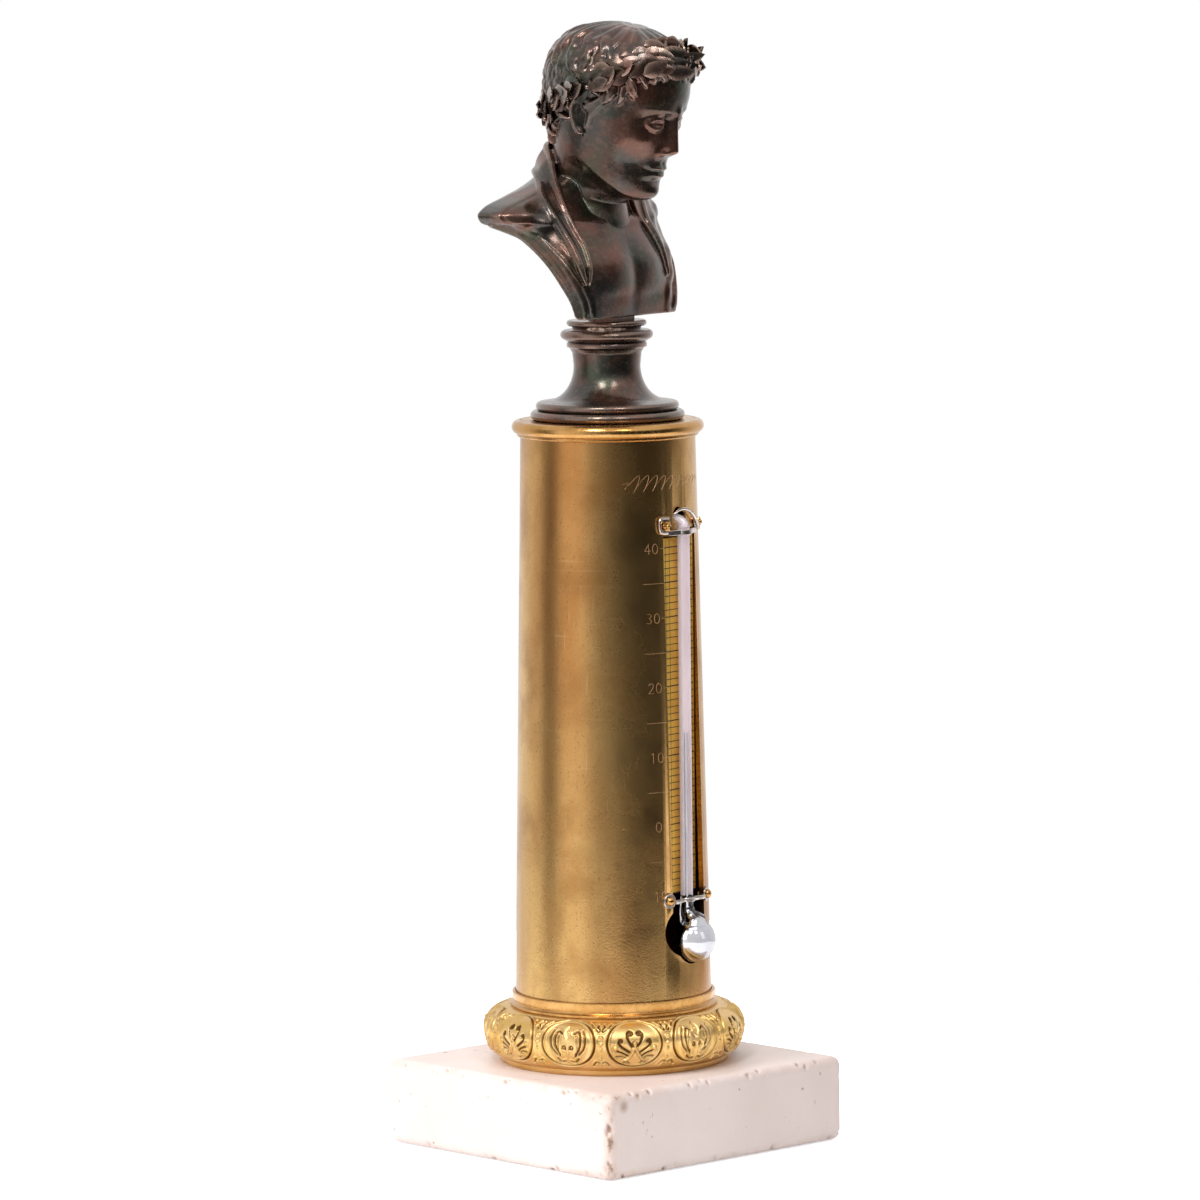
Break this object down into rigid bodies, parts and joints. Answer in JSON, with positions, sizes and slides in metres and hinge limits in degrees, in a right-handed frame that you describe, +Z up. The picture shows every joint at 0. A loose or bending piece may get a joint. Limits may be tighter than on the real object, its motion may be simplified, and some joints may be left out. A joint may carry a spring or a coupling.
{
  "type": "column thermometer",
  "caption": "Tapered brass column on a square marble plinth, with a mercury tube in a slotted, engraved scale and a wreathed bronze bust on a turned socle.",
  "frame": {"origin": "centre of the plinth's square underside", "axes": "+Z up the column, X and Y square to the plinth's sides; the thermometer faces -Y, turned 11 degrees towards +X"},
  "size_m": [0.088, 0.088, 0.304],
  "materials": {
    "marble": "honed, slightly worn",
    "gilt_brass": "gilt, satin",
    "aged_brass": "brushed, aged lacquer",
    "steel": "bright drawn",
    "bronze": "dark brown patina",
    "clear_glass": "clear, polished",
    "quicksilver": "liquid mirror"
  },
  "bodies": {
    "plinth": {"marble_plinth": "marble", "plinth_washer": "aged_brass"},
    "column": {"plinth_nut": "aged_brass", "tie_rod": "steel", "palmette_ring": "gilt_brass", "seat_collar": "gilt_brass", "column_foot_disc": "aged_brass", "column_shell": "aged_brass", "scale_carrier": "aged_brass", "scale_plate": "gilt_brass", "thermometer_tube": "clear_glass", "mercury_bulb": "quicksilver", "upper_clip": "steel", "lower_clip": "steel", "upper_clip_screws": "gilt_brass", "lower_clip_pins": "gilt_brass", "column_top_disc": "aged_brass", "column_rim": "gilt_brass", "socle_foot": "bronze", "socle_body": "bronze", "socle_cap": "bronze"},
    "bust_body": {"bust": "bronze", "laurel_wreath": "bronze", "bust_lug": "bronze", "bust_stud": "steel", "stud_nut": "steel"},
    "mercury": {"mercury_thread": "quicksilver"}
  },
  "joints": [
    {"name": "column_turn", "type": "hinge", "parent": "plinth", "child": "column", "pos_m": [0, 0, 0.023], "axis": [0, 0, 1], "continuous": true},
    {"name": "bust_turn", "type": "hinge", "parent": "column", "child": "bust_body", "pos_m": [0, 0, 0.2238], "axis": [0, 0, 1], "continuous": true},
    {"name": "mercury_rise", "type": "slide", "parent": "column", "child": "mercury", "axis": [0, 0, 1], "range_m": [-0.0432, 0.0503], "deforming": ["mercury_thread"]}
  ]
}
